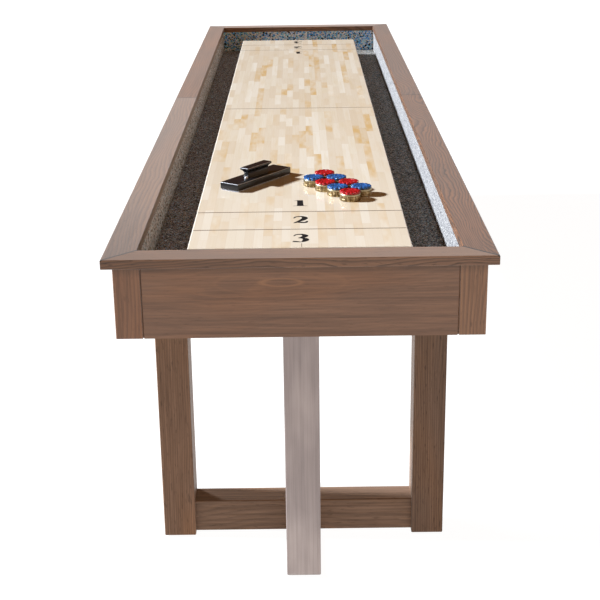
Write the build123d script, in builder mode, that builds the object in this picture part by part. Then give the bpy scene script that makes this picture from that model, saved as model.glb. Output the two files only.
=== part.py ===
from build123d import *
import os
from math import cos, radians, sin

os.makedirs("parts", exist_ok=True)

# A shuffleboard table on two pedestals, with its pucks and its brush on the playfield.
# Millimetres. X runs across the table, Y along it with the near end at -Y, Z up.
# The origin is on the floor, under the middle of the table.

# Cabinet
table_length = 3658.0       # over the cap rails
table_width = 836.0         # over the cap rails
table_height = 800.0        # floor to the top of the cap rails
cap_width = 70.0
cap_thickness = 21.0
cap_overhang = 21.0         # how far the cap stands out past the aprons
cap_seam = 0.6              # hairline between the two halves of a side cap rail
cap_edge = 2.0              # eased edges of the cap rails
apron_height = 163.0
post_width = 61.0
groove_width = 3.0          # shadow groove between a corner post and an apron
groove_depth = 5.0
post_edge = 2.5             # eased outer corner of a post

# Gutters and playfield
gutter_depth = 109.0        # top of the cap rails down to the carpet
carpet_thickness = 6.0
gutter_board_thickness = 18.0
gutter_board_joint = 0.5    # between a side board and an end board
end_gutter_length = 139.0   # from an end cap rail's inner edge to the playfield
playfield_width = 508.0
playfield_thickness = 76.0
playfield_drop = 41.0       # top of the cap rails down to the playfield
playfield_gap = 2.0         # all round, between the playfield and the gutter floor
playfield_edge = 3.0

# Cradle under the playfield
cross_member_width = 60.0
inner_bays = 5              # bays between the pedestals
shim_length = 80.0
shim_spacing = 300.0

# Pedestals: a wooden frame across the table, and a bent flat bar along it
leg_setback = 257.0         # from the end of the table to the front of a leg
leg_width = 77.0
leg_depth = 84.0
leg_clearance = 3.0         # the wooden legs stand off the floor on their levelers
leg_edge = 3.0
frame_side_gap = 11.0       # between a wooden leg and the side apron above it
rail_depth = 68.0
rail_setback = 13.0         # stretcher and top rail behind the front of the legs
stretcher_height = 82.0
top_rail_height = 70.0
metal_width = 79.0
metal_thickness = 9.0
metal_setback = 61.0        # from the end of the table to the front of the metal leg
metal_bend = 14.0           # outside radius of a bend
metal_flange = 70.0
metal_bevel = 2.0

# Fasteners of the pedestals
rail_bolt_radius = 5.0
rail_bolt_spacing = 300.0
flange_bolt_radius = 4.0
flange_bolt_spacing = 44.0
bolt_bite = 36.0            # length of a bolt in a cross member
bolt_clearance = 0.3
head_ratio = 1.9            # corner radius of a hexagon head over the shank's radius
head_height_ratio = 1.3     # height of a head over the shank's radius

# Levelers
foot_radius = 17.0
foot_height = 6.0
foot_clearance = 1.0
stem_radius = 5.0
stem_length = 40.0
stem_end_room = 4.0
running_fit = 0.1

# Climatic adjusters: two brackets, two rods and a turning sleeve under the playfield
adjuster_span = 340.0       # between the webs of its two brackets
bracket_length = 90.0
bracket_flange = 44.0
bracket_drop = 46.0
bracket_thickness = 5.0
bracket_screw_radius = 3.0
bracket_screw_spacing = 60.0
bracket_screw_bite = 30.0
boss_length = 10.0
boss_radius = 12.0
rod_radius = 6.0
rod_drop = 30.0             # underside of the playfield to the rod's centre
rod_tail = 12.0             # how far a rod stands out of its boss
rod_end_gap = 30.0          # between the two rods, inside the sleeve
sleeve_length = 100.0
sleeve_radius = 14.0        # over the corners of the hexagon

# Pucks
puck_radius = 27.0
weight_height = 18.5
weight_recess_radius = 13.0
weight_recess_depth = 2.5
band_depth = 0.8            # grip band round the weight
band_low = 6.0
band_high = 12.5
rim_bevel = 1.2
cap_seat_radius = 20.0
cap_seat_depth = 4.0
cap_seat_clearance = 0.2
puck_cap_height = 6.5
puck_cap_radius = 26.5
puck_cap_edge = 1.5
puck_cap_dish_radius = 15.0
puck_cap_dish_depth = 1.5
flute_count = 14
flute_radius = 3.0
flute_depth = 1.0
puck_pitch = 58.9           # centre to centre, in a two-row honeycomb
first_puck_x = 37.5
first_puck_inset = 559.5    # from the near end of the playfield
row_angle = -59.0           # direction of a row, degrees from +X

# Brush
brush_x = -115.6            # its centre
brush_inset = 601.6         # from the near end of the playfield
brush_turn = 54.6           # its length, degrees from +X
brush_length = 234.0
brush_width = 60.0
brush_block_height = 17.4
brush_corner = 3.0
brush_edge = 1.2
bristle_height = 3.9
bristle_inset = 1.0
handle_length = 106.0
handle_width = 27.0         # over its top
handle_foot_width = 24.0
handle_waist = 13.0
handle_height = 27.5
handle_lip = 5.0            # straight side above the waist
handle_edge = 2.0
handle_foot_length = 84.0   # its ends are hollowed too
handle_waist_length = 89.0
screw_radius = 4.8
screw_height = 4.4
screw_dome = 1.6            # rounding of its head
screw_along = -48.0         # from the centre of the brush, in front of the handle's near end
screw_across = -3.5

# Levels and lines that the sizes above settle
half_length = table_length / 2
half_width = table_width / 2
cap_bottom = table_height - cap_thickness
cabinet_bottom = cap_bottom - apron_height
apron_thickness = cap_width - cap_overhang - carpet_thickness
outer_x = half_width - cap_overhang             # outer faces of the aprons
outer_y = half_length - cap_overhang
apron_inner_x = outer_x - apron_thickness
apron_inner_y = outer_y - apron_thickness
opening_x = half_width - cap_width              # inner edges of the cap rails
opening_y = half_length - cap_width
carpet_top = table_height - gutter_depth
board_top = carpet_top - carpet_thickness
cross_top = board_top - gutter_board_thickness
playfield_top = table_height - playfield_drop
playfield_bottom = playfield_top - playfield_thickness
playfield_length = 2 * (opening_y - end_gutter_length)
well_x = playfield_width / 2 + playfield_gap    # inner edges of the gutter floor
well_y = playfield_length / 2 + playfield_gap
brush_y = brush_inset - playfield_length / 2
first_puck_y = first_puck_inset - playfield_length / 2

frame_width = 2 * (apron_inner_x - frame_side_gap)      # over both wooden legs
leg_x = (frame_width - leg_width) / 2
leg_y = half_length - leg_setback - leg_depth / 2
rail_y = half_length - leg_setback - rail_setback - rail_depth / 2
rail_half_length = frame_width / 2 - leg_width
metal_half_length = half_length - metal_setback - leg_y
flange_reach = metal_half_length - metal_flange / 2

inner_span = 2 * (leg_y - flange_reach)
inner_step = inner_span / inner_bays
member_rows = [
    *(end * (leg_y + shift) for end in (-1, 1) for shift in (flange_reach, 0, -flange_reach)),
    *(inner_span / 2 - inner_step * step for step in range(1, inner_bays)),
]
shim_rows = [row for row in member_rows if abs(row) < playfield_length / 2 - cross_member_width]
adjuster_rows = {
    "near": -(inner_span - inner_step) / 2,
    "middle": 0.0,
    "far": (inner_span - inner_step) / 2,
}
rod_level = playfield_bottom - rod_drop

rail_bolt_places = [
    (side * rail_bolt_spacing / 2, end * rail_y) for end in (-1, 1) for side in (-1, 1)
]
flange_bolt_places = [
    (side * flange_bolt_spacing / 2, end * (leg_y + shift))
    for end in (-1, 1)
    for shift in (flange_reach, -flange_reach)
    for side in (-1, 1)
]
bracket_face = adjuster_span / 2
bracket_screw_places = [
    (side * (bracket_face + bracket_flange / 2), row + step * bracket_screw_spacing / 2)
    for row in adjuster_rows.values()
    for side in (-1, 1)
    for step in (-1, 1)
]

ends = {"near": -1, "far": 1}
sides = {"left": -1, "right": 1}


def save(part, label):
    """Label a finished piece and write its STEP file."""
    part.label = label
    export_step(part, f"parts/{label}.step")


# Cap rails: two mitred end rails, and two mitred halves along each side
for end_name, end in ends.items():
    with BuildPart() as cap_end:
        with BuildSketch(Plane.XY.offset(cap_bottom)):
            with BuildLine():
                Polyline(
                    (-half_width, end * half_length),
                    (half_width, end * half_length),
                    (opening_x, end * opening_y),
                    (-opening_x, end * opening_y),
                    close=True,
                )
            make_face()
        extrude(amount=cap_thickness)
        fillet(cap_end.edges().filter_by(Axis.X), cap_edge)
    save(cap_end.part, f"cap_rail_{end_name}")

    for side_name, side in sides.items():
        with BuildPart() as cap_side:
            with BuildSketch(Plane.XY.offset(cap_bottom)):
                with BuildLine():
                    Polyline(
                        (side * half_width, end * cap_seam / 2),
                        (side * half_width, end * half_length),
                        (side * opening_x, end * opening_y),
                        (side * opening_x, end * cap_seam / 2),
                        close=True,
                    )
                make_face()
            extrude(amount=cap_thickness)
            fillet(cap_side.edges().filter_by(Axis.Y), cap_edge)
        save(cap_side.part, f"cap_rail_{side_name}_{end_name}")

# Aprons: boards set between the corner posts
for end_name, end in ends.items():
    with BuildPart() as apron_end:
        with BuildSketch(Plane.XY.offset(cabinet_bottom)):
            with Locations((0, end * (outer_y - apron_thickness / 2))):
                Rectangle(2 * (outer_x - post_width), apron_thickness)
        extrude(amount=apron_height)
    save(apron_end.part, f"apron_{end_name}")

for side_name, side in sides.items():
    with BuildPart() as apron_side:
        with BuildSketch(Plane.XY.offset(cabinet_bottom)):
            with Locations((side * (outer_x - apron_thickness / 2), 0)):
                Rectangle(apron_thickness, 2 * (outer_y - post_width))
        extrude(amount=apron_height)
    save(apron_side.part, f"apron_{side_name}")

# Corner posts: angle section, rebated along both edges for the shadow groove
for end_name, end in ends.items():
    for side_name, side in sides.items():
        post_outline = [
            (0, 0),
            (post_width - groove_width, 0),
            (post_width - groove_width, groove_depth),
            (post_width, groove_depth),
            (post_width, apron_thickness),
            (apron_thickness, apron_thickness),
            (apron_thickness, post_width),
            (groove_depth, post_width),
            (groove_depth, post_width - groove_width),
            (0, post_width - groove_width),
        ]
        with BuildPart() as post:
            with BuildSketch(Plane.XY.offset(cabinet_bottom)):
                with BuildLine():
                    Polyline(
                        *((side * (outer_x - x), end * (outer_y - y)) for x, y in post_outline),
                        close=True,
                    )
                make_face()
            extrude(amount=apron_height)
            outer_corner = (side * outer_x, end * outer_y, cabinet_bottom)
            fillet(post.edges().filter_by(Axis.Z).sort_by_distance(outer_corner)[0], post_edge)
        save(post.part, f"corner_post_{end_name}_{side_name}")

# Cross members of the cradle, bored for the pedestals' bolts
with BuildPart() as cross_members:
    with BuildSketch(Plane.XY.offset(cabinet_bottom)):
        with Locations(*((0, row) for row in member_rows)):
            Rectangle(2 * apron_inner_x, cross_member_width)
    extrude(amount=cross_top - cabinet_bottom)
    with BuildSketch(Plane.XY.offset(cabinet_bottom)):
        with Locations(*rail_bolt_places):
            Circle(rail_bolt_radius + bolt_clearance)
        with Locations(*flange_bolt_places):
            Circle(flange_bolt_radius + bolt_clearance)
    extrude(amount=bolt_bite + bolt_clearance, mode=Mode.SUBTRACT)
save(cross_members.part, "cross_members")

# Gutter floor: a board along each side, and one across each end
with BuildPart() as gutter_boards:
    with BuildSketch(Plane.XY.offset(cross_top)):
        with Locations(*((side * (well_x + apron_inner_x) / 2, 0) for side in (-1, 1))):
            Rectangle(apron_inner_x - well_x, 2 * (well_y - gutter_board_joint))
        with Locations(*((0, end * (well_y + apron_inner_y) / 2) for end in (-1, 1))):
            Rectangle(2 * apron_inner_x, apron_inner_y - well_y)
    extrude(amount=gutter_board_thickness)
save(gutter_boards.part, "gutter_boards")

# Carpet: each strip covers a gutter floor and turns up the inner wall to the cap rail
with BuildPart() as side_carpets:
    with BuildSketch(Plane.XY.offset(board_top)):
        with Locations(*((side * (well_x + opening_x) / 2, 0) for side in (-1, 1))):
            Rectangle(opening_x - well_x, 2 * well_y)
    extrude(amount=carpet_thickness)
    with BuildSketch(Plane.XY.offset(board_top)):
        with Locations(*((side * (opening_x + apron_inner_x) / 2, 0) for side in (-1, 1))):
            Rectangle(apron_inner_x - opening_x, 2 * apron_inner_y)
    extrude(amount=cap_bottom - board_top)
save(side_carpets.part, "side_carpets")

with BuildPart() as end_carpets:
    with BuildSketch(Plane.XY.offset(board_top)):
        with Locations(*((0, end * (well_y + opening_y) / 2) for end in (-1, 1))):
            Rectangle(2 * opening_x, opening_y - well_y)
    extrude(amount=carpet_thickness)
    with BuildSketch(Plane.XY.offset(board_top)):
        with Locations(*((0, end * (opening_y + apron_inner_y) / 2) for end in (-1, 1))):
            Rectangle(2 * opening_x, apron_inner_y - opening_y)
    extrude(amount=cap_bottom - board_top)
save(end_carpets.part, "end_carpets")

# Playfield: one thick laminated board, on shims over the cross members
with BuildPart() as playfield:
    with BuildSketch(Plane.XY.offset(playfield_bottom)):
        Rectangle(playfield_width, playfield_length)
    extrude(amount=playfield_thickness)
    fillet(playfield.faces().sort_by(Axis.Z)[-1].edges(), playfield_edge)
    with BuildSketch(Plane.XY.offset(playfield_bottom)):
        with Locations(*bracket_screw_places):
            Circle(bracket_screw_radius + bolt_clearance)
    extrude(amount=bracket_screw_bite + bolt_clearance, mode=Mode.SUBTRACT)
save(playfield.part, "playfield")

with BuildPart() as playfield_shims:
    with BuildSketch(Plane.XY.offset(cross_top)):
        with Locations(*((side * shim_spacing / 2, row) for row in shim_rows for side in (-1, 1))):
            Rectangle(shim_length, cross_member_width)
    extrude(amount=playfield_bottom - cross_top)
save(playfield_shims.part, "playfield_shims")

# Wooden legs, each bored for its leveler, and the levelers
for end_name, end in ends.items():
    for side_name, side in sides.items():
        leg_place = (side * leg_x, end * leg_y)
        with BuildPart() as leg:
            with BuildSketch(Plane.XY.offset(leg_clearance)):
                with Locations(leg_place):
                    Rectangle(leg_width, leg_depth)
            extrude(amount=cabinet_bottom - leg_clearance)
            fillet(leg.edges().filter_by(Axis.Z), leg_edge)
            fillet(leg.faces().sort_by(Axis.Z)[0].edges(), leg_edge)
            with BuildSketch(Plane.XY.offset(leg_clearance)):
                with Locations(leg_place):
                    Circle(foot_radius + foot_clearance)
            extrude(amount=foot_height - leg_clearance, mode=Mode.SUBTRACT)
            with BuildSketch(Plane.XY.offset(leg_clearance)):
                with Locations(leg_place):
                    Circle(stem_radius + running_fit)
            extrude(
                amount=foot_height + stem_length + stem_end_room - leg_clearance,
                mode=Mode.SUBTRACT,
            )
        save(leg.part, f"leg_{end_name}_{side_name}")

        with BuildPart() as leveler:
            with BuildSketch():
                with Locations(leg_place):
                    Circle(foot_radius)
            extrude(amount=foot_height)
            with BuildSketch(Plane.XY.offset(foot_height)):
                with Locations(leg_place):
                    Circle(stem_radius)
            extrude(amount=stem_length)
            chamfer(leveler.faces().sort_by(Axis.Z)[0].edges(), leg_clearance / 3)
        save(leveler.part, f"leveler_{end_name}_{side_name}")

# Stretchers between the wooden legs, on top of the metal bar
for end_name, end in ends.items():
    with BuildPart() as stretcher:
        with BuildSketch(Plane.XY.offset(metal_thickness)):
            with Locations((0, end * rail_y)):
                Rectangle(2 * rail_half_length, rail_depth)
        extrude(amount=stretcher_height)
        fillet(stretcher.edges().filter_by(Axis.X), leg_edge)
    save(stretcher.part, f"stretcher_{end_name}")

# Top rails between the wooden legs, bolted up into a cross member
with BuildPart() as top_rails:
    with BuildSketch(Plane.XY.offset(cabinet_bottom - top_rail_height)):
        with Locations(*((0, end * rail_y) for end in (-1, 1))):
            Rectangle(2 * rail_half_length, rail_depth)
        with Locations(*rail_bolt_places):
            Circle(rail_bolt_radius + bolt_clearance, mode=Mode.SUBTRACT)
    extrude(amount=top_rail_height)
save(top_rails.part, "top_rails")

# Metal legs: one flat bar bent to a U along the table, its ends turned in under the cradle
metal_half_gauge = metal_thickness / 2
metal_top = cabinet_bottom - metal_half_gauge
metal_side = metal_half_length - metal_half_gauge
metal_tip = metal_half_length - metal_flange
for end_name, end in ends.items():
    bar_plane = Plane(
        origin=(-metal_width / 2, end * leg_y, 0),
        x_dir=(0, 1, 0),
        z_dir=(1, 0, 0),
    )
    with BuildPart() as metal_leg:
        with BuildSketch(bar_plane):
            with BuildLine():
                FilletPolyline(
                    (-metal_tip, metal_top),
                    (-metal_side, metal_top),
                    (-metal_side, metal_half_gauge),
                    (metal_side, metal_half_gauge),
                    (metal_side, metal_top),
                    (metal_tip, metal_top),
                    radius=metal_bend - metal_half_gauge,
                )
            trace(line_width=metal_thickness)
        extrude(amount=metal_width)
        chamfer(metal_leg.faces().filter_by(Axis.X).edges(), metal_bevel)
        with BuildSketch(Plane.XY.offset(cabinet_bottom)):
            with Locations(*flange_bolt_places):
                Circle(flange_bolt_radius + bolt_clearance)
        extrude(amount=-metal_thickness, mode=Mode.SUBTRACT)
    save(metal_leg.part, f"metal_leg_{end_name}")

# Bolts: long ones through the top rails, short ones through the metal flanges
with BuildPart() as frame_bolts:
    for radius, places, grip in (
        (rail_bolt_radius, rail_bolt_places, top_rail_height),
        (flange_bolt_radius, flange_bolt_places, metal_thickness),
    ):
        head_top = Plane.XY.offset(cabinet_bottom - grip)
        with BuildSketch(head_top):
            with Locations(*places):
                RegularPolygon(radius * head_ratio, 6)
        extrude(amount=-radius * head_height_ratio)
        with BuildSketch(head_top):
            with Locations(*places):
                Circle(radius)
        extrude(amount=grip + bolt_bite)
save(frame_bolts.part, "frame_bolts")

# Climatic adjusters: brackets with a threaded boss, under the playfield
with BuildPart() as adjuster_brackets:
    for row in adjuster_rows.values():
        section = Plane(origin=(0, row, playfield_bottom), x_dir=(1, 0, 0), z_dir=(0, -1, 0))
        with BuildSketch(section):
            for side in (-1, 1):
                with BuildLine():
                    Polyline(
                        (side * bracket_face, 0),
                        (side * (bracket_face + bracket_flange), 0),
                        (side * (bracket_face + bracket_flange), -bracket_thickness),
                        (side * (bracket_face + bracket_thickness), -bracket_thickness),
                        (side * (bracket_face + bracket_thickness), -bracket_drop),
                        (side * bracket_face, -bracket_drop),
                        close=True,
                    )
                make_face()
        extrude(amount=bracket_length / 2, both=True)
        for side in (-1, 1):
            web = Plane(
                origin=(side * bracket_face, row, rod_level), x_dir=(0, 1, 0), z_dir=(side, 0, 0)
            )
            with BuildSketch(web.offset(bracket_thickness)):
                RegularPolygon(boss_radius, 6)
            extrude(amount=boss_length)
            with BuildSketch(web):
                Circle(rod_radius + running_fit)
            extrude(amount=bracket_thickness + boss_length, mode=Mode.SUBTRACT)
    with BuildSketch(Plane.XY.offset(playfield_bottom)):
        with Locations(*bracket_screw_places):
            Circle(bracket_screw_radius + bolt_clearance)
    extrude(amount=-bracket_thickness, mode=Mode.SUBTRACT)
save(adjuster_brackets.part, "adjuster_brackets")

with BuildPart() as bracket_screws:
    head_top = Plane.XY.offset(playfield_bottom - bracket_thickness)
    with BuildSketch(head_top):
        with Locations(*bracket_screw_places):
            RegularPolygon(bracket_screw_radius * head_ratio, 6)
    extrude(amount=-bracket_screw_radius * head_height_ratio)
    with BuildSketch(head_top):
        with Locations(*bracket_screw_places):
            Circle(bracket_screw_radius)
    extrude(amount=bracket_thickness + bracket_screw_bite)
save(bracket_screws.part, "bracket_screws")

# Rods, held in the bosses, and the sleeve that turns on both rods of a pair
rod_length = bracket_face + bracket_thickness + boss_length + rod_tail - rod_end_gap / 2
with BuildPart() as adjuster_rods:
    for row in adjuster_rows.values():
        for side in (-1, 1):
            rod_end = Plane(
                origin=(side * rod_end_gap / 2, row, rod_level), x_dir=(0, 1, 0), z_dir=(side, 0, 0)
            )
            with BuildSketch(rod_end):
                Circle(rod_radius)
            extrude(amount=rod_length)
save(adjuster_rods.part, "adjuster_rods")

for row_name, row in adjuster_rows.items():
    sleeve_plane = Plane(origin=(0, row, rod_level), x_dir=(0, 1, 0), z_dir=(1, 0, 0))
    with BuildPart() as sleeve:
        with BuildSketch(sleeve_plane):
            RegularPolygon(sleeve_radius, 6)
            Circle(rod_radius + running_fit, mode=Mode.SUBTRACT)
        extrude(amount=sleeve_length / 2, both=True)
    save(sleeve.part, f"adjuster_sleeve_{row_name}")

# Brush: a block on a bristle pad, with a handle hollowed all round and a bright screw before its near end
brush_dir = Vector(cos(radians(brush_turn)), sin(radians(brush_turn)), 0)
brush_base = Plane(origin=(brush_x, brush_y, playfield_top), x_dir=brush_dir, z_dir=(0, 0, 1))
with BuildPart() as bristles:
    with BuildSketch(brush_base):
        Rectangle(brush_length - 2 * bristle_inset, brush_width - 2 * bristle_inset)
    extrude(amount=bristle_height)
save(bristles.part, "brush_bristles")

with BuildPart() as block:
    with BuildSketch(brush_base.offset(bristle_height)):
        RectangleRounded(brush_length, brush_width, brush_corner)
    extrude(amount=brush_block_height)
    fillet(block.faces().sort_by(Axis.Z)[-1].edges(), brush_edge)
save(block.part, "brush_block")

block_top = bristle_height + brush_block_height
handle_end = Plane(
    origin=brush_base.from_local_coords(Vector(-handle_length / 2, 0, block_top)),
    x_dir=brush_base.y_dir,
    z_dir=brush_dir,
)
handle_side = Plane(
    origin=brush_base.from_local_coords(Vector(0, 0, block_top)),
    x_dir=brush_dir,
    z_dir=-brush_base.y_dir,
)
with BuildPart() as handle:
    with BuildSketch(handle_end):
        with BuildLine():
            foot = (handle_foot_width / 2, 0)
            shoulder = (handle_width / 2, handle_height - handle_lip)
            waist = (handle_waist / 2, (handle_height - handle_lip) / 2)
            Line((0, 0), foot)
            ThreePointArc(foot, waist, shoulder)
            Line(shoulder, (handle_width / 2, handle_height))
            Line((handle_width / 2, handle_height), (0, handle_height))
            mirror(about=Plane.YZ)
        make_face()
    extrude(amount=handle_length)
    with BuildSketch(handle_side):
        with BuildLine():
            foot_end = (handle_foot_length / 2, 0)
            shoulder_end = (handle_length / 2, handle_height - handle_lip)
            waist_end = (handle_waist_length / 2, (handle_height - handle_lip) / 2)
            Line((0, 0), foot_end)
            ThreePointArc(foot_end, waist_end, shoulder_end)
            Line(shoulder_end, (handle_length / 2, handle_height))
            Line((handle_length / 2, handle_height), (0, handle_height))
            mirror(about=Plane.YZ)
        make_face()
    extrude(amount=handle_width, both=True, mode=Mode.INTERSECT)
    fillet(handle.faces().sort_by(Axis.Z)[-1].edges(), handle_edge)
save(handle.part, "brush_handle")

with BuildPart() as screw:
    with BuildSketch(brush_base.offset(block_top)):
        with Locations((screw_along, screw_across)):
            Circle(screw_radius)
    extrude(amount=screw_height)
    fillet(screw.faces().sort_by(Axis.Z)[-1].edges(), screw_dome)
save(screw.part, "brush_screw")

# Pucks: a turned weight with a fluted cap, eight of them in two rows
row_step = Vector(puck_pitch, 0, 0).rotate(Axis.Z, row_angle)
row_shift = Vector(puck_pitch, 0, 0).rotate(Axis.Z, -row_angle)
puck_places = [
    Vector(first_puck_x, first_puck_y, playfield_top) + row_shift * row + row_step * step
    for row in range(2)
    for step in range(4)
]
for number, place in enumerate(puck_places, start=1):
    turning = Plane(origin=place, x_dir=(1, 0, 0), z_dir=(0, -1, 0))
    with BuildPart() as weight:
        with BuildSketch(turning):
            with BuildLine():
                Polyline(
                    (0, weight_recess_depth),
                    (weight_recess_radius, weight_recess_depth),
                    (weight_recess_radius + weight_recess_depth, 0),
                    (puck_radius - rim_bevel, 0),
                    (puck_radius, rim_bevel),
                    (puck_radius, band_low - band_depth),
                    (puck_radius - band_depth, band_low),
                    (puck_radius - band_depth, band_high),
                    (puck_radius, band_high + band_depth),
                    (puck_radius, weight_height - rim_bevel),
                    (puck_radius - rim_bevel, weight_height),
                    (cap_seat_radius, weight_height),
                    (cap_seat_radius, weight_height - cap_seat_depth),
                    (0, weight_height - cap_seat_depth),
                    close=True,
                )
            make_face()
        revolve(axis=Axis(place, (0, 0, 1)))
    save(weight.part, f"puck_weight_{number}")

    seat_level = playfield_top + weight_height
    with BuildPart() as puck_cap:
        with BuildSketch(Plane.XY.offset(seat_level)):
            with Locations((place.X, place.Y)):
                Circle(puck_cap_radius)
                with PolarLocations(puck_cap_radius + flute_radius - flute_depth, flute_count):
                    Circle(flute_radius, mode=Mode.SUBTRACT)
        extrude(amount=puck_cap_height)
        chamfer(puck_cap.faces().sort_by(Axis.Z)[-1].edges(), puck_cap_edge)
        with BuildSketch(Plane.XY.offset(seat_level + puck_cap_height)):
            with Locations((place.X, place.Y)):
                Circle(puck_cap_dish_radius)
        extrude(amount=-puck_cap_dish_depth, mode=Mode.SUBTRACT)
        with BuildSketch(Plane.XY.offset(seat_level)):
            with Locations((place.X, place.Y)):
                Circle(cap_seat_radius - cap_seat_clearance)
        extrude(amount=-cap_seat_depth)
    save(puck_cap.part, f"puck_cap_{number}")
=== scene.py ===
from math import cos, pi, radians, sin

import bmesh
import bpy
import numpy as np
from mathutils import Matrix, Vector


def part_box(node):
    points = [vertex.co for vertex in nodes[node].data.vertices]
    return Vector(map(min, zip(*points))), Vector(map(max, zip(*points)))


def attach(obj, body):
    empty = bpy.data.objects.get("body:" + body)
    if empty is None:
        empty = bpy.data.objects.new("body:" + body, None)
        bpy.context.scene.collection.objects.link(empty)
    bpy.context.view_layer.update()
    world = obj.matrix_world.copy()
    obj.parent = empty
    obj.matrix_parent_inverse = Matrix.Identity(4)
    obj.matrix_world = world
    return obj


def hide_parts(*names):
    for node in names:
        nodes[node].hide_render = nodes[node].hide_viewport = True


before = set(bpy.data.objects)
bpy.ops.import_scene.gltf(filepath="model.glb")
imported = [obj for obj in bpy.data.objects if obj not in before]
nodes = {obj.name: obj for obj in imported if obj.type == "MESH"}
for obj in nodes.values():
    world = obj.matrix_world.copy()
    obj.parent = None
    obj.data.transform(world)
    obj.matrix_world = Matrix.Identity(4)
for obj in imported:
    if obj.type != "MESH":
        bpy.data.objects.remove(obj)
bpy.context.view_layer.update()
scene = bpy.context.scene
print("frame loaded:", len(nodes), "nodes")

# camera: above the near end, looking down the table
view = {
    "place": (0.0048, -4.4143, 1.6182),
    "turn": -0.00221,  # radians from straight along the table, positive to the right
    "down": 0.33875,  # radians below level
    "tilt": 0.01321,  # radians round the line of sight
    "lens": 78.03,  # mm, on a sensor this wide
    "sensor": 36,
    "farthest": 200,  # metres
}
forward = Vector((
    sin(view["turn"]) * cos(view["down"]), cos(view["turn"]) * cos(view["down"]), -sin(view["down"]),
))
level = Vector((cos(view["turn"]), -sin(view["turn"]), 0))
drop = forward.cross(level)
imageRight = cos(view["tilt"]) * level + sin(view["tilt"]) * drop
imageDown = cos(view["tilt"]) * drop - sin(view["tilt"]) * level
cameraData = bpy.data.cameras.new("tableView")
cameraData.sensor_width, cameraData.lens, cameraData.clip_end = view["sensor"], view["lens"], view["farthest"]
camera = bpy.data.objects.new("tableView", cameraData)
facing = Matrix((imageRight, -imageDown, -forward)).transposed().to_4x4()
camera.matrix_world = Matrix.Translation(view["place"]) @ facing
scene.collection.objects.link(camera)
scene.camera = camera
scene.view_settings.view_transform = "Standard"

studio = {
    "keyRise": 29.5,  # degrees above level, comes in over the left rail
    "keySwing": -5.0,  # degrees it runs towards the far end; below zero, towards the near end
    "keyPower": 8.5,
    "keyColour": (0.95, 1.0, 1.07),
    "keySize": 5.0,  # degrees across, softens the shadows
    "lowPlace": (-1.2, -0.6, 0.6),  # a second lamp, behind at the left, reaches under the cabinet
    "lowAim": (0.05, -1.53, 0.09),
    "lowPower": 20.0,
    "lowSize": 0.18,
    "fillColour": (1.0, 0.7, 0.44),
    "ceiling": 0.05,
    "ceilingColour": (1.9, 0.72, 0.13),
    "frontGlow": 0.5,  # soft light from the near end
    "rightGlow": 0.43,  # and from the right
    "floorGlow": 0.97,
    "floorColour": 0.12,
    "floorSize": 60.0,  # half its width
    "floorLevel": -0.0004,
    "backdrop": (1.0, 1.0, 1.0),  # seen past the floor, gives no light
}


def shine(name, kind, way, **settings):
    # a lamp that shines along a way
    data = bpy.data.lights.new(name, kind)
    for setting, value in settings.items():
        setattr(data, setting, value)
    lamp = bpy.data.objects.new(name, data)
    lamp.rotation_mode = "QUATERNION"
    lamp.rotation_quaternion = way.to_track_quat("-Z", "Y")
    scene.collection.objects.link(lamp)
    return lamp


keyRise, keySwing = radians(studio["keyRise"]), radians(studio["keySwing"])
keyWay = Vector((cos(keyRise) * cos(keySwing), cos(keyRise) * sin(keySwing), -sin(keyRise)))
shine("keyLight", "SUN", keyWay,
      energy=studio["keyPower"], angle=radians(studio["keySize"]), color=studio["keyColour"])
lowWay = Vector(studio["lowAim"]) - Vector(studio["lowPlace"])
lowLight = shine("lowLight", "AREA", lowWay,
                 energy=studio["lowPower"], size=studio["lowSize"], color=studio["keyColour"])
lowLight.location = studio["lowPlace"]

bench = {}  # the material in the making and its node tree, where put adds nodes


def feed(node, inputs):
    # an input takes the socket that feeds it, or a number or colour that is set on the input itself
    for name, value in inputs.items():
        if isinstance(value, bpy.types.NodeSocket):
            node.id_data.links.new(value, node.inputs[name])
        else:
            node.inputs[name].default_value = value


def put(kind, inputs=None, **settings):
    # one shader node
    made = bench["tree"].nodes.new("ShaderNode" + kind)
    for name, value in settings.items():
        setattr(made, name, value)
    feed(made, inputs or {})
    return made


def sums(operation, *values):
    # one step of arithmetic between numbers or sockets
    return put("Math", dict(enumerate(values)), operation=operation).outputs[0]


def times(first, second):
    return sums("MULTIPLY", first, second)


def less(first, second):
    return sums("SUBTRACT", first, second)


def axesOf(vector):
    return put("SeparateXYZ", {"Vector": vector}).outputs


def blend(amount, first, second, how="MIX"):
    mixed = put("Mix", {"Factor": amount}, data_type="RGBA", blend_type=how)
    ends = {6: first, 7: second}  # the two colour inputs
    feed(mixed, {place: (*end, 1) if isinstance(end, tuple) else end for place, end in ends.items()})
    return mixed.outputs[2]


def tinted(colour, tint):
    return blend(1.0, colour, tint, "MULTIPLY")


def ramp(value, stops, how="LINEAR"):
    # numbers to colours: stops are (place, colour)
    made = put("ValToRGB", {"Fac": value})
    made.color_ramp.interpolation = how
    while len(made.color_ramp.elements) < len(stops):
        made.color_ramp.elements.new(0.5)
    for element, (place, colour) in zip(made.color_ramp.elements, stops):
        element.position = place
        element.color = (*colour, 1)
    return made.outputs[0]


def between(value, low, high, newLow=0.0, newHigh=1.0):
    # value stretched so that low..high becomes newLow..newHigh, and held inside it
    ends = {"From Min": low, "From Max": high, "To Min": newLow, "To Max": newHigh}
    return put("MapRange", {"Value": value, **ends}).outputs[0]


def band(value, rise, full, fade, end):
    # 0 up to rise, 1 from full to fade, and 0 again from end
    return sums("MINIMUM", between(value, rise, full), between(value, fade, end, 1.0, 0.0))


def coated(colour, *coats):
    # coats laid over a colour, each with its amount: (amount, colour)
    for amount, coat in coats:
        colour = blend(amount, colour, coat)
    return colour


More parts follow.
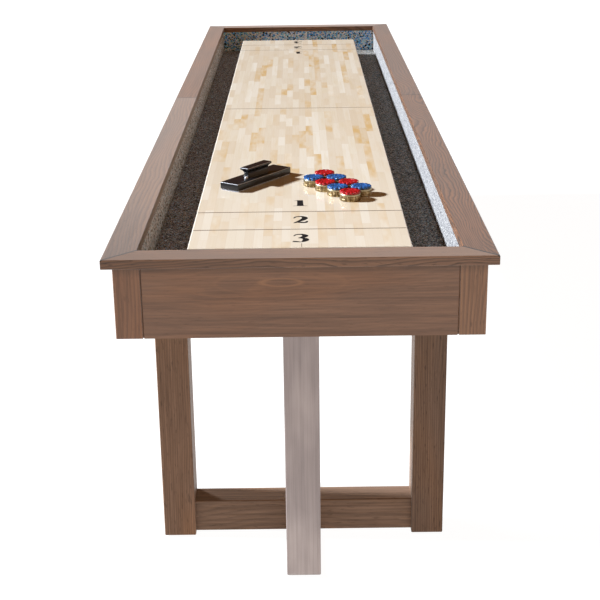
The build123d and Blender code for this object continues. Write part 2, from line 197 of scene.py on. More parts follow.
def speckle(coordinates, scale, detail=2.0, rough=0.5):
    inputs = {"Vector": coordinates, "Scale": scale, "Detail": detail, "Roughness": rough}
    return put("TexNoise", inputs).outputs[0]


def stretched(coordinates, scale, shift=(0, 0, 0)):
    return put("Mapping", {"Vector": coordinates, "Scale": scale, "Location": shift}).outputs[0]


def streaks(place, scale, detail, rough=0.5, shift=(0, 0, 0)):
    # noise with another scale along each axis
    return speckle(stretched(place, scale, shift), 1.0, detail, rough)


def newFinish(name):
    # a new material on the bench; its patterns are made from the place on the object
    material = bpy.data.materials.new(name)
    material.use_nodes = True
    bench.update(material=material, tree=material.node_tree)
    return put("TexCoord").outputs["Object"]


def finished(colour, roughness, relief=None, others=None):
    # the material on the bench gets its inputs; relief: (height, strength, depth)
    inputs = {"Base Color": colour, "Roughness": roughness, **(others or {})}
    if relief:
        bump = put("Bump", dict(zip(("Height", "Strength", "Distance"), relief)))
        inputs["Normal"] = bump.outputs[0]
    feed(bench["tree"].nodes["Principled BSDF"], inputs)
    return bench["material"]


def dress(material, *names):
    for name in names:
        slots = nodes[name].data.materials
        slots.clear()
        slots.append(material)


# floor, and walls that glow at the near end, at the right and all round, but are seen plain white
floorMesh = bpy.data.meshes.new("studioFloor")
floorMesh.from_pydata([
    (x * studio["floorSize"], y * studio["floorSize"], studio["floorLevel"])
    for x, y in ((-1, -1), (1, -1), (1, 1), (-1, 1))
], [], [(0, 1, 2, 3)])
floor = bpy.data.objects.new("studioFloor", floorMesh)
scene.collection.objects.link(floor)
newFinish("paleFloor")
floorMesh.materials.append(finished((*(studio["floorColour"],) * 3, 1), 0.9, None, {
    "Emission Color": (1, 1, 1, 1), "Emission Strength": studio["floorGlow"],
}))

world = bpy.data.worlds.new("studioWalls")
scene.world = world
world.use_nodes = True
bench["tree"] = world.node_tree
skyWay = axesOf(put("TexCoord").outputs["Generated"])
lowSky = between(skyWay["Z"], 0.75, 0.4)
nearGlow = times(between(skyWay["Y"], -0.3, -0.9, 0.0, studio["frontGlow"]), lowSky)
sideGlow = times(between(skyWay["X"], 0.3, 0.9, 0.0, studio["rightGlow"]), lowSky)
fill = blend(sums("ADD", nearGlow, sideGlow), (0, 0, 0), studio["fillColour"])
allRound = tuple(studio["ceiling"] * c for c in studio["ceilingColour"])
lit = blend(1.0, fill, allRound, "ADD")
seen = put("LightPath").outputs["Is Camera Ray"]
feed(world.node_tree.nodes["Background"], {"Color": blend(seen, lit, studio["backdrop"])})
print("camera, floor and light placed")

# stained wood of the cabinet and the pedestals
wood = {
    "light": (0.268, 0.15, 0.094),
    "dark": (0.12, 0.064, 0.038),
    "warm": (0.31, 0.14, 0.062),  # orange undertone in soft streaks
    "line": (0.04, 0.022, 0.014),  # late growth, a thin dark line
    "gold": (0.34, 0.17, 0.083),  # thin pale line beside it
    "pore": (0.022, 0.013, 0.009),
    "polish": 0.46,
    "sheen": 0.5,
    "sheenRoughness": 0.4,
    "lowSheen": 0.12,  # on the pedestals
    "sheenTint": (0.9, 0.92, 0.92),
    "relief": (0.4, 0.0004),  # strength and depth of the grain
    "paintedShadeUnderCap": (0.025, 0.006, 0.66),  # painted shade under the cap rails, where their overhang shades the aprons and posts: from and to this far down, its tone
    "paintedCornerShade": (0.02, 0.45, 0.72),  # painted shade, the light falling off at the near left corner of the cap rails: from and to this far off, its tone
    "seam": 0.0025,  # half width of a mitre's hairline
    "seamColour": (0.002, 0.001, 0.001),
    "seamTop": (0.003, 0.0015),  # the hairline is on the top face, from this far under it
}
capLow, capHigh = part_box("cap_rail_near")
mitreOffset = float(capHigh[0] + capLow[1])  # outer half width less outer half length


def stainedWood(name, run, shift, spacing, wave, depth, tone, mitre, eye, sheen):
    # growth lines are level lines of: place across the board + slow noise that is drawn out along it;
    # line = fraction of that sum / spacing
    place = newFinish(name)
    true = axesOf(place)
    axes = axesOf(put("Mapping", {"Vector": place, "Location": shift}).outputs[0])
    across, deep, along = (axes[i] for i in {"X": (1, 2, 0), "Y": (0, 2, 1), "Z": (0, 1, 2)}[run])

    def drawnOut(side, length, detail, rough):
        # noise with one scale across the board and another along it
        parts = {"X": (across, side), "Y": (deep, side), "Z": (along, length)}
        scaled = {socket: times(value, scale) for socket, (value, scale) in parts.items()}
        return speckle(put("CombineXYZ", scaled).outputs[0], 1.0, detail, rough)

    slow = drawnOut(9.0, 1.7, 1.0, 0.4)
    ripple = drawnOut(30.0, 11.0, 2.0, 0.5)
    level = sums("MULTIPLY_ADD", deep, 0.8, across)
    level = sums("MULTIPLY_ADD", slow, 0.16 * wave, level)
    level = sums("MULTIPLY_ADD", ripple, 0.014 * wave, level)
    ring = sums("FRACT", sums("DIVIDE", level, spacing))
    line = band(ring, 0.6, 0.9, 0.94, 1.0)
    pale = band(ring, 0.1, 0.25, 0.25, 0.45)

    fibre = drawnOut(260.0, 8.0, 3.0, 0.65)
    streak = drawnOut(85.0, 2.0, 3.0, 0.6)
    cloud = drawnOut(9.0, 2.4, 2.0, 0.5)
    pores = between(drawnOut(240.0, 44.0, 1.0, 0.5), 0.62, 0.74)

    shade = times(between(streak, 0.33, 0.67), 0.45)
    shade = sums("MULTIPLY_ADD", between(fibre, 0.32, 0.68), 0.55, shade)
    orange = blend(shade, tuple(0.55 * c for c in wood["warm"]), wood["warm"])
    paleShare = min(1.0, 0.25 + depth)
    gilt = between(cloud, 0.35, 0.6, 0.15 * paleShare, 0.7 * paleShare)
    colour = coated(
        blend(shade, wood["dark"], wood["light"]),
        (between(cloud, 0.45, 0.7, 0.0, 0.6), orange),
        (times(pale, gilt), wood["gold"]),
    )
    if eye:
        # pale rings round a spot: distance = root of (x / long)^2 + (z / high)^2, a line at each half
        eyeX, eyeZ, long, high = eye
        farX = sums("DIVIDE", less(true["X"], eyeX), long)
        farZ = sums("DIVIDE", less(true["Z"], eyeZ), high)
        away = sums("POWER", sums("MULTIPLY_ADD", farX, farX, times(farZ, farZ)), 0.5)
        away = sums("MULTIPLY_ADD", less(cloud, 0.5), 1.0, away)
        loop = band(sums("FRACT", away), 0.38, 0.5, 0.5, 0.62)
        fade = between(away, 0.3, 1.9, 0.75, 0.0)
        colour = blend(times(loop, fade), colour, wood["gold"])
    strength = between(streak, 0.25, 0.65, 0.3 * depth, 0.85 * depth)
    poreShare = times(pores, min(0.55, 0.12 + 0.6 * depth))
    colour = coated(colour, (times(line, strength), wood["line"]), (poreShare, wood["pore"]))
    colour = tinted(colour, tone)
    # painted shade: the aprons and corner posts darker just under the cap rails
    if name.startswith(("wood_apron", "wood_corner")):
        start, end, tint = wood["paintedShadeUnderCap"]
        paintedShadeUnderCap = between(true["Z"], capLow[2] - start, capLow[2] - end, 1.0, tint)
        colour = tinted(colour, paintedShadeUnderCap)
    if mitre:
        # painted shade: the cap rails darker towards the near left corner
        nearLeft = (-capHigh[0], capLow[1], capHigh[2])
        corner = put("VectorMath", {0: place, 1: nearLeft}, operation="DISTANCE").outputs["Value"]
        start, end, tint = wood["paintedCornerShade"]
        colour = tinted(colour, between(corner, start, end, tint, 1.0))
        # hairline where the cap rails meet at 45 degrees, and where the halves of a side rail butt
        sideways, endways = (sums("ABSOLUTE", true[i]) for i in (0, 1))
        apart = less(less(sideways, endways), mitreOffset)
        apart = sums("MINIMUM", times(sums("ABSOLUTE", apart), 0.7), endways)
        hairline = between(apart, 0.6 * wood["seam"], 1.5 * wood["seam"], 1.0, 0.0)
        onTop = between(true["Z"], *(capHigh[2] - under for under in wood["seamTop"]))
        colour = blend(times(hairline, onTop), colour, wood["seamColour"])
    sunk = sums("MAXIMUM", pores, times(line, 0.4))
    grain = less(times(fibre, 0.5), sunk)
    roughness = between(fibre, 0.2, 0.8, wood["polish"] - 0.06, wood["polish"] + 0.1)
    return finished(colour, roughness, (grain, *wood["relief"]), {
        "Specular IOR Level": 0.5 if sheen > wood["lowSheen"] else 0.15,
        "Sheen Weight": sheen,
        "Sheen Roughness": wood["sheenRoughness"],
        "Sheen Tint": (*wood["sheenTint"], 1),
    })


boards = {
    # node: (grain runs along, shift of its pattern, line spacing, waviness and depth of the lines, tone)
    "cap_rail_near": ("X", (0.3, 0.0, 0.0), 0.0085, 1.0, 1.0, (0.99, 0.95, 0.87)),
    "cap_rail_far": ("X", (1.9, 0.4, 0.2), 0.0105, 0.8, 0.8, (1.0, 1.0, 1.0)),
    "cap_rail_left_near": ("Y", (0.2, 0.7, 0.1), 0.012, 0.9, 0.5, (0.85, 0.88, 0.9)),
    "cap_rail_left_far": ("Y", (0.6, 3.1, 0.3), 0.012, 0.9, 0.5, (0.93, 0.88, 0.86)),
    "cap_rail_right_near": ("Y", (0.9, 5.3, 0.2), 0.009, 1.2, 1.1, (0.74, 0.63, 0.53)),
    "cap_rail_right_far": ("Y", (1.4, 7.9, 0.4), 0.011, 1.2, 1.0, (0.74, 0.66, 0.6)),
    "apron_near": ("X", (0.0, 0.0, -0.7), 0.015, 1.7, 0.08, (1.02, 1.0, 0.96)),
    "apron_far": ("X", (4.2, 0.3, 0.5), 0.015, 1.7, 0.08, (1.02, 1.0, 0.96)),
    "apron_left": ("Y", (0.5, 2.2, 0.8), 0.015, 1.7, 0.15, (1.0, 0.98, 0.95)),
    "apron_right": ("Y", (0.8, 9.2, 0.6), 0.015, 1.7, 0.15, (1.0, 0.98, 0.95)),
    "corner_post_near_left": ("Z", (0.3, 0.2, 0.1), 0.01, 0.5, 0.3, (1.08, 0.97, 0.84)),
    "corner_post_near_right": ("Z", (2.3, 0.6, 0.3), 0.007, 0.5, 0.55, (1.3, 1.26, 1.14)),
    "corner_post_far_left": ("Z", (3.3, 0.9, 0.7), 0.009, 0.5, 0.4, (1.0, 0.98, 0.94)),
    "corner_post_far_right": ("Z", (4.3, 1.2, 0.9), 0.009, 0.5, 0.4, (1.0, 0.98, 0.94)),
    "leg_near_left": ("Z", (0.31, 1.5, 0.2), 0.0062, 0.3, 0.42, (1.03, 1.12, 1.18)),
    "leg_near_right": ("Z", (2.7, 1.9, 0.5), 0.0062, 0.3, 0.42, (0.77, 0.87, 0.97)),
    "leg_far_left": ("Z", (5.2, 0.3, 0.8), 0.0062, 0.3, 0.65, (1.0, 1.1, 1.18)),
    "leg_far_right": ("Z", (7.1, 0.8, 1.2), 0.0062, 0.3, 0.65, (1.0, 1.1, 1.18)),
    "stretcher_near": ("X", (0.9, 1.55, 0.0), 0.011, 0.7, 0.35, (1.0, 1.13, 1.23)),
    "stretcher_far": ("X", (3.9, 0.2, 0.4), 0.011, 0.7, 0.35, (1.0, 1.13, 1.23)),
    "top_rails": ("X", (6.9, 0.5, 0.9), 0.01, 0.9, 0.4, (1.0, 1.13, 1.23)),
}
eyes = {"apron_near": (-0.039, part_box("apron_near")[1][2] - 0.04, 0.096, 0.0196)}  # x, z, long, high
sheens = {  # where they differ, by the start of a name
    "leg": wood["lowSheen"], "stretcher": wood["lowSheen"], "top_rails": wood["lowSheen"],
    "cap_rail_near": 0.42, "cap_rail_right": 0.34, "cap_rail_left_far": 0.34,
}
for name, looks in boards.items():
    sheen = next((share for start, share in sheens.items() if name.startswith(start)), wood["sheen"])
    dress(stainedWood("wood_" + name, *looks, name.startswith("cap"), eyes.get(name), sheen), name)
print("wood finished:", len(boards), "boards")

# playfield: glued maple staves under a clear coat
maple = {
    "stave": 0.0212,  # width of a stave
    "shortest": 0.11,  # lengths of the pieces that make up a stave
    "longest": 0.34,
    "glueLine": 0.0006,
    "glue": (0.5, 0.32, 0.17),
    "coat": 0.5,
    "coatRoughness": 0.05,
    "tones": [
        (0.0, (0.703, 0.606, 0.467)), (0.22, (0.774, 0.708, 0.581)), (0.45, (0.725, 0.631, 0.496)),
        (0.62, (0.823, 0.775, 0.671)), (0.8, (0.689, 0.58, 0.434)), (0.92, (0.759, 0.683, 0.559)),
        (1.0, (0.71, 0.613, 0.478)),
    ],
    "even": (0.755, 0.672, 0.545),
    "calm": (-1.5, -0.7),  # the staves are evener towards the near end, between these places
    "heart": (0.64, 0.41, 0.15),  # orange heartwood that some pieces carry
    "figure": (0.64, 0.49, 0.26),
    "grain": (0.56, 0.41, 0.2),
    # painted highlight: a paler strip along the eased side edges of the board, and its width
    "rim": (0.86, 0.8, 0.7),
    "highlightWidth": 0.0035,  # of the eased edge of the board, where the highlight is painted
}


def mapleStaves():
    # stave = whole part of x / width; piece = whole part of (y / length + a random start),
    # with the length and the start drawn for each stave, and one tone for each piece
    place = newFinish("mapleStaves")
    axes = axesOf(place)
    acrossPlace = sums("DIVIDE", axes["X"], maple["stave"])
    stave = sums("FLOOR", acrossPlace)
    lot = put("TexWhiteNoise", {"W": stave}, noise_dimensions="1D").outputs
    length = between(lot["Value"], 0.0, 1.0, maple["shortest"], maple["longest"])
    start = times(axesOf(lot["Color"])["Y"], 37.0)
    alongPlace = sums("ADD", sums("DIVIDE", axes["Y"], length), start)
    cell = put("CombineXYZ", {"X": stave, "Y": sums("FLOOR", alongPlace)}).outputs[0]
    draw = put("TexWhiteNoise", {"Vector": cell}, noise_dimensions="2D").outputs

    def grainNoise(side, along, detail):
        # noise drawn out along the stave, with another stretch of it for each piece
        offset = put("VectorMath", {0: draw["Color"], 1: (19.0, 23.0, 29.0)}, operation="MULTIPLY")
        drawnOut = stretched(place, (side, along, side))
        lines = put("VectorMath", {0: drawnOut, 1: offset.outputs[0]}, operation="ADD")
        return speckle(lines.outputs[0], 1.0, detail, 0.55)

    def awayFromMiddle(value):
        # 0 at the middle of a stave or piece, 0.5 at its edges
        return sums("ABSOLUTE", less(sums("FRACT", value), 0.5))

    grain = grainNoise(300.0, 7.0, 3.0)
    figure = grainNoise(60.0, 5.0, 2.0)
    heart = grainNoise(34.0, 9.0, 2.0)
    hearted = between(axesOf(draw["Color"])["Y"], 0.7, 0.9)
    heartShare = times(hearted, between(heart, 0.36, 0.66, 0.12, 0.85))
    sideSeam = 0.5 - maple["glueLine"] / maple["stave"]
    seam = sums(
        "MAXIMUM",
        between(awayFromMiddle(acrossPlace), sideSeam, 0.5, 0.0, 0.22),
        between(awayFromMiddle(alongPlace), 0.4955, 0.5, 0.0, 0.4),
    )
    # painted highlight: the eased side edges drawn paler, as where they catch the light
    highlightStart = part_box("playfield")[1][0] - maple["highlightWidth"]
    rim = between(sums("ABSOLUTE", axes["X"]), highlightStart, highlightStart + 0.001)
    colour = coated(
        ramp(draw["Value"], maple["tones"]),
        (heartShare, maple["heart"]),
        (between(figure, 0.5, 0.78, 0.0, 0.3), maple["figure"]),
        (between(grain, 0.5, 0.8, 0.0, 0.2), maple["grain"]),
        (between(axes["Y"], *maple["calm"], 0.55, 0.0), maple["even"]),
        (seam, maple["glue"]),
        (rim, maple["rim"]),
    )
    return finished(colour, between(grain, 0.3, 0.8, 0.4, 0.52), (grain, 0.05, 0.0002), {
        "Specular IOR Level": 0.2,
        "Coat Weight": maple["coat"],
        "Coat Roughness": maple["coatRoughness"],
    })


dress(mapleStaves(), "playfield")


def cradleBoard(name, run, base, layers=0.0):
    # slow and fine noise stretched along the board; plywood gets a stripe for each layer of its edge
    place = newFinish(name)
    squeeze = {"X": (3.0, 90.0, 90.0), "Y": (90.0, 3.0, 90.0)}[run]
    grain = streaks(place, squeeze, 5.0, 0.65)
    fine = streaks(place, tuple(7 * v for v in squeeze), 2.0)
    dark, darker, darkest = (tuple(share * v for v in base) for share in (0.62, 0.5, 0.45))
    colour = coated(dark, (between(grain, 0.3, 0.7), base), (between(fine, 0.5, 0.8, 0.0, 0.35), darkest))
    if layers:
        stripe = sums("FRACT", sums("DIVIDE", axesOf(place)["Z"], layers))
        colour = blend(between(stripe, 0.55, 0.65, 0.0, 0.3), colour, darker)
    return finished(colour, between(fine, 0.3, 0.7, 0.6, 0.78), (grain, 0.3, 0.0004))


# plain wood of the cradle, out of sight
dress(cradleBoard("pineRails", "X", (0.52, 0.36, 0.21)), "cross_members", "playfield_shims")
dress(cradleBoard("birchPly", "Y", (0.56, 0.42, 0.27), 0.0022), "gutter_boards")

# metals of the legs and of the fittings
pewter = {
    "colour": (0.285, 0.238, 0.228),
    "patch": (0.49, 0.415, 0.39),
    "line": (0.2, 0.165, 0.155),
    "roughness": 0.42,
    "metallic": 0.85,
}


def brushedPewter():
    # brush lines: noise that changes fast across the bar and slowly along it, with soft paler patches
    place = newFinish("brushedPewter")
    lines = streaks(place, (700.0, 5.0, 5.0), 3.0, 0.6)
    bands = streaks(place, (120.0, 3.0, 3.0), 3.0, 0.6)
    patch = streaks(place, (16.0, 6.0, 6.0), 2.0, shift=(0.3, 0.1, 0.6))
    shade = times(between(patch, 0.35, 0.7), 0.6)
    shade = sums("MULTIPLY_ADD", between(bands, 0.3, 0.7), 0.4, shade)
    colour = coated(
        pewter["colour"],
        (shade, pewter["patch"]),
        (between(lines, 0.35, 0.75, 0.0, 0.28), pewter["line"]),
        # painted shade: the bar darker towards its top, paler at the foot where the floor lights it
        (between(axesOf(place)["Z"], 0.0, 0.6, 0.0, 0.18), pewter["line"]),
    )
    roughness = between(lines, 0.25, 0.75, pewter["roughness"] - 0.08, pewter["roughness"] + 0.1)
    return finished(colour, roughness, (lines, 0.12, 0.0002), {"Metallic": pewter["metallic"]})


def platedSteel(name, colour, roughness, spangle=140.0, metallic=1.0):
    # zinc spangle: one shade for each cell, and a fine handling scratch noise over it
    place = newFinish(name)
    cells = put("TexVoronoi", {"Vector": place, "Scale": spangle}).outputs["Color"]
    shade = between(axesOf(cells)["X"], 0.0, 1.0, 0.0, 0.4)
    wear = speckle(place, 900.0, 3.0, 0.6)
    dull, wearAndPaintedLight = (tuple(share * v for v in colour) for share in (0.7, 0.55))
    colour = coated(colour, (shade, dull), (between(wear, 0.5, 0.8, 0.0, 0.3), wearAndPaintedLight))
    roughness = between(wear, 0.3, 0.7, roughness - 0.06, roughness + 0.12)
    return finished(colour, roughness, (wear, 0.08, 0.0001), {"Metallic": metallic})


dress(brushedPewter(), "metal_leg_near", "metal_leg_far")
zinc = platedSteel("zincPlate", (0.62, 0.63, 0.65), 0.36)
dress(zinc, "frame_bolts", "adjuster_brackets", "bracket_screws", "adjuster_rods")
dress(zinc, *(f"leveler_{end}_{side}" for end in ("near", "far") for side in ("left", "right")))
sleeveSteel = platedSteel("sleeveSteel", (0.5, 0.52, 0.56), 0.3, 60.0)
dress(sleeveSteel, *(f"adjuster_sleeve_{row}" for row in ("near", "middle", "far")))
print("playfield, cradle and metals finished")


def gridFaces(rows, columns, around):
    # corners of each quad of a grid, counted row by row; around joins the last column to the first
    columnRange = np.arange(columns if around else columns - 1)
    row, column = np.meshgrid(np.arange(rows - 1), columnRange, indexing="ij")
    after = (column + 1) % columns
    here, above = row * columns, (row + 1) * columns
    return np.stack([here + column, here + after, above + after, above + column], -1).reshape(-1, 4)


def makePiece(name, grids, finish, body, replaced=(), sharp=35.0):
    # grids: (points[row, column, xyz], joined around or not); shared seams and poles are merged
    points, faces, count = [], [], 0
    for grid, around in grids:
        rows, columns = grid.shape[:2]
        faces.append(gridFaces(rows, columns, around) + count)
        points.append(grid.reshape(-1, 3))
        count += rows * columns
    mesh = bpy.data.meshes.new(name)
    mesh.from_pydata(np.concatenate(points).tolist(), [], np.concatenate(faces).tolist())
    shell = bmesh.new()
    shell.from_mesh(mesh)
    bmesh.ops.remove_doubles(shell, verts=shell.verts, dist=2e-6)
    bmesh.ops.recalc_face_normals(shell, faces=shell.faces)
    shell.to_mesh(mesh)
    shell.free()
    mesh.polygons.foreach_set("use_smooth", np.ones(len(mesh.polygons), bool))
    mesh.set_sharp_from_angle(angle=radians(sharp))
    mesh.materials.append(finish)
    piece = bpy.data.objects.new(name, mesh)
    scene.collection.objects.link(piece)
    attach(piece, body)
    if replaced:
        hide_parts(*replaced)


def closedRows(rows):
    # rows of points, closed by the middle of the first row and of the last
    first, last = (np.broadcast_to(row.mean(0), row.shape) for row in (rows[0], rows[-1]))
    return np.stack([first, *rows, last])


def roundAngles(count):
    return np.linspace(0, 2 * pi, count, endpoint=False)


def turnedShape(middle, radius, height, angle):
    # radius and height along a profile, carried round an upright through the middle
    x, y = middle[0] + radius * np.cos(angle), middle[1] + radius * np.sin(angle)
    return np.stack([x, y, np.broadcast_to(height, x.shape)], -1)


def boxMiddle(name):
    low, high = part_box(name)
    return np.array((low + high) / 2), np.array(low), np.array(high)


carpet = {
    "spacing": 0.005,  # of the grid that the pile is made on
    "pile": 0.0006,  # how uneven the pile stands
    "setback": 0.003,  # thickness of the wall carpet, behind the inner edge of the cap rails
    "gap": 0.002,  # between the playfield and the gutter floor
    "floorTop": 0.691,
    # yarns of each face: share of the tufts from which the colour starts, and the colour. One carpet is coloured
    # apart for each face, with its light painted in: paler yarns on the left wall, which lies in shade (painted
    # light), greyer yarns on the sunlit right wall (painted shade)
    "floorYarns": [
        (0.0, (0.07, 0.075, 0.09)), (0.3, (0.34, 0.355, 0.41)), (0.62, (0.52, 0.63, 0.85)),
        (0.76, (0.87, 0.7, 0.64)), (0.86, (0.48, 0.8, 1.0)), (0.92, (1.0, 1.0, 1.0)),
    ],
    "leftYarns": [
        (0.0, (0.03, 0.03, 0.035)), (0.15, (0.42, 0.4, 0.41)), (0.32, (0.95, 0.89, 0.87)),
        (0.6, (1.0, 1.0, 1.0)), (0.85, (0.75, 0.9, 1.0)),
    ],
    "rightYarns": [
        (0.0, (0.14, 0.145, 0.16)), (0.2, (0.33, 0.335, 0.345)), (0.68, (0.48, 0.48, 0.48)),
    ],
    "endYarns": [
        (0.0, (0.012, 0.02, 0.035)), (0.14, (0.13, 0.45, 1.0)), (0.36, (0.38, 0.8, 1.0)),
        (0.54, (0.85, 0.8, 0.75)), (0.62, (0.53, 0.7, 1.0)), (0.72, (1.0, 1.0, 1.0)),
    ],
    "between": (0.02, 0.02, 0.022),  # between the tufts
    "clump": 150.0,  # scale of the clumps that the floor pile is pressed into
    "wearAndPaintedLight": (0.66, 0.62, 0.52),  # painted shade: the pile darker towards the right-hand gutter, which lies in the playfield's shadow
    "rightShadeSpan": (-0.2, 0.2),
    "corner": (0.0, 0.016),  # painted shade at the foot of a wall, where it meets the floor: heights above the floor
    # colour of that painted shade
    "dust": (0.05, 0.047, 0.045),
}


def fleckedCarpet(name, yarns, tuftSize, depth, wearAndPaintedLight, shadedFoot):
    # short mixed yarns: one colour for each small cell, darkened between the tufts
    place = newFinish(name)
    wobble = put("TexNoise", {"Vector": place, "Scale": 0.9 / tuftSize, "Detail": 1.0}).outputs["Color"]
    bent = put("VectorMath", {0: wobble, 1: (0.5 * tuftSize,) * 3, 2: place}, operation="MULTIPLY_ADD")
    cells = put("TexVoronoi", {"Vector": bent.outputs[0], "Scale": 1 / tuftSize}).outputs
    pick = axesOf(cells["Color"])["X"]
    chosen = ramp(pick, yarns, "CONSTANT")
    tuft = between(cells["Distance"], 0.15, 0.75, 0.0, depth)
    colour = blend(tuft, chosen, carpet["between"])
    axes = axesOf(place)
    if wearAndPaintedLight:
        clump = speckle(place, carpet["clump"], 2.0, 0.7)
        colour = tinted(colour, between(clump, 0.3, 0.66, 0.5, 1.35))
        # painted shade over the right-hand gutter floor
        shadedRight = tinted(colour, carpet["wearAndPaintedLight"])
        colour = blend(between(axes["X"], *carpet["rightShadeSpan"]), colour, shadedRight)
    if shadedFoot:
        # painted shade at the foot of the wall
        rise = less(axes["Z"], carpet["floorTop"])
        colour = blend(between(rise, *carpet["corner"], 0.5, 0.0), colour, carpet["dust"])
    roughness = between(pick, 0.0, 1.0, 0.85, 1.0)
    return finished(colour, roughness, (times(cells["Distance"], -1.0), 0.8, 0.0012), {"Specular IOR Level": 0.1})


def carpetSlab(corner, longWay, wideWay, outWay, seed):
    # face = corner + u longWay + v wideWay + (thickness + pile(u, v)) out, let down to nothing at the edges
    corner, longWay, wideWay, outWay = (np.array(v, float) for v in (corner, longWay, wideWay, outWay))
    rise = np.linalg.norm(outWay)
    out = outWay / rise
    longCount = int(np.linalg.norm(longWay) / carpet["spacing"]) + 1
    wideCount = int(np.linalg.norm(wideWay) / carpet["spacing"]) + 1
    u, v = np.meshgrid(np.linspace(0, 1, longCount), np.linspace(0, 1, wideCount), indexing="ij")
    edge = np.minimum(np.minimum(u, 1 - u) * longCount, np.minimum(v, 1 - v) * wideCount)
    pile = np.random.default_rng(seed).uniform(-1, 0, u.shape) * carpet["pile"] * np.clip(edge, 0, 1)
    flat = corner + u[..., None] * longWay + v[..., None] * wideWay
    face = flat + (rise + pile)[..., None] * out
    rim, back = (
        np.concatenate([grid[0, :], grid[1:, -1], grid[-1, -2::-1], grid[-2:0:-1, 0]]) for grid in (face, flat)
    )
    middle = np.broadcast_to(flat.mean((0, 1)), back.shape)
    return [(face, False), (np.stack([rim, back, middle]), True)]


_, sideLow, sideHigh = boxMiddle("side_carpets")
_, _, endHigh = boxMiddle("end_carpets")
_, _, fieldHigh = boxMiddle("playfield")
floorIn, endIn = fieldHigh[0] + carpet["gap"], fieldHigh[1] + carpet["gap"]
wallX, wallY, thin = sideHigh[0], endHigh[1], carpet["setback"]
floorLow, floorUp, wallUp = sideLow[2], (0, 0, carpet["floorTop"] - sideLow[2]), (0, 0, sideHigh[2] - sideLow[2])
sideRun, endRun = 2 * (wallY - thin), 2 * (wallX - thin)
floorGrids, wallGrids, endGrids = [], {-1: [], 1: []}, []
for side in (-1, 1):
    floorGrids += carpetSlab(
        (side * floorIn, -wallY + thin, floorLow), (0, sideRun, 0), (side * (wallX - thin - floorIn), 0, 0),
        floorUp, 11 + side)
    wallGrids[side] += carpetSlab(
        (side * wallX, -wallY, floorLow), (0, 2 * wallY, 0), wallUp, (-side * thin, 0, 0), 21 + side)
    floorGrids += carpetSlab(
        (-floorIn, side * endIn, floorLow), (2 * floorIn, 0, 0), (0, side * (wallY - thin - endIn), 0),
        floorUp, 31 + side)
    endGrids += carpetSlab(
        (-wallX + thin, side * wallY, floorLow), (endRun, 0, 0), wallUp, (0, -side * thin, 0), 41 + side)
linings = {
    # piece: (its grids, yarns, size of a tuft, darkness between tufts, clumped with painted shade at the right,
    # painted shade at the foot of the wall, nodes it stands for)
    "floorCarpet": (floorGrids, "floorYarns", 0.0026, 0.25, True, False, ["side_carpets", "end_carpets"]),
    "leftWallCarpet": (wallGrids[-1], "leftYarns", 0.0046, 0.35, False, True, ["side_carpets"]),
    "rightWallCarpet": (wallGrids[1], "rightYarns", 0.0032, 0.25, False, False, ["side_carpets"]),
    "endWallCarpet": (endGrids, "endYarns", 0.005, 0.35, False, False, ["end_carpets"]),
}
for name, (grids, yarns, *looks, replaced) in linings.items():
    makePiece(name, grids, fleckedCarpet(name, carpet[yarns], *looks), "table", replaced)
print("carpet laid")

# lines and numerals on the playfield
marks = {
    "proud": 0.00008,  # thickness of the print
    "linesProud": 0.8,  # share of it that the lines have
    "clear": 0.00012,  # what slides on the playfield is drawn this much above it, over the print
    "lineWidth": 0.0046,
    "thinnest": 0.0004,
    "lines": (1.32, 1.474),  # from the middle of the table, at both ends
    "margin": 3,  # mm between the end of a line and the edge of the board
    "tick": (1588, 1610),  # mm from the middle of the table: start, and a point on the way to the end
    "tickWidth": 1.3,  # mm
    "tickShift": 0.004,
    "numeralPlaces": (1.2405, 1.3935, 1.547),
    "numeralShift": 0.0015,
    # strokes of each numeral in mm: (across, up, width)
    "one": [
        [(-0.6, 27.5, 14.5), (-0.2, 12, 15), (0, -10, 15.5), (0.3, -27.5, 17.5)],
        [(-15.5, 21.5, 1.4), (-9, 24.5, 2.6), (-4, 26, 3.4)],
        [(-18, -27, 1.6), (-6, -26, 3.2), (6, -26, 3.2), (18, -27, 1.6)],
    ],
    "two": [
        [(-16, 13.5, 3), (-11, 24.5, 6), (-1.5, 28.5, 7.5), (6.5, 25.5, 11), (11.2, 14.5, 14.5), (6.5, 1.4, 14),
         (-1.2, -10, 9.5), (-8.3, -20, 7.5), (-15.8, -29, 3)],
        [(-15.8, -29.5, 2), (-9, -21.5, 9), (-1.2, -22, 10), (6.7, -24.5, 10), (13, -22.5, 9), (17.2, -11, 3)],
    ],
    "three": [
        [(-15.8, 16.5, 3), (-10.3, 26.5, 5.5), (-2.4, 30, 7), (5.6, 27.5, 10.5), (11.2, 18.5, 14), (7.5, 9, 12.5),
         (0.8, 3, 8), (-6, 1.4, 2.6)],
        [(-4, 1.0, 4), (6, -1.6, 9), (12.4, -10.5, 14.5), (10.4, -20.5, 14), (5.6, -28.5, 7), (-0.8, -30.6, 5),
         (-8, -28.6, 8), (-17.6, -26.4, 9)],
    ],
}


def smoothPath(points, steps=7):
    # each stretch between two points is a cubic that leaves and arrives along their neighbours (Catmull and Rom)
    p = np.asarray(points, float)
    p = np.vstack([2 * p[0] - p[1], p, 2 * p[-1] - p[-2]])
    t = np.linspace(0, 1, steps, endpoint=False)[:, None]
    runs = [
        0.5 * (2 * b + (c - a) * t + (2 * a - 5 * b + 4 * c - d) * t**2 + (3 * b - a - 3 * c + d) * t**3)
        for a, b, c, d in zip(p, p[1:], p[2:], p[3:])
    ]
    return np.vstack(runs + [p[-2:-1]])


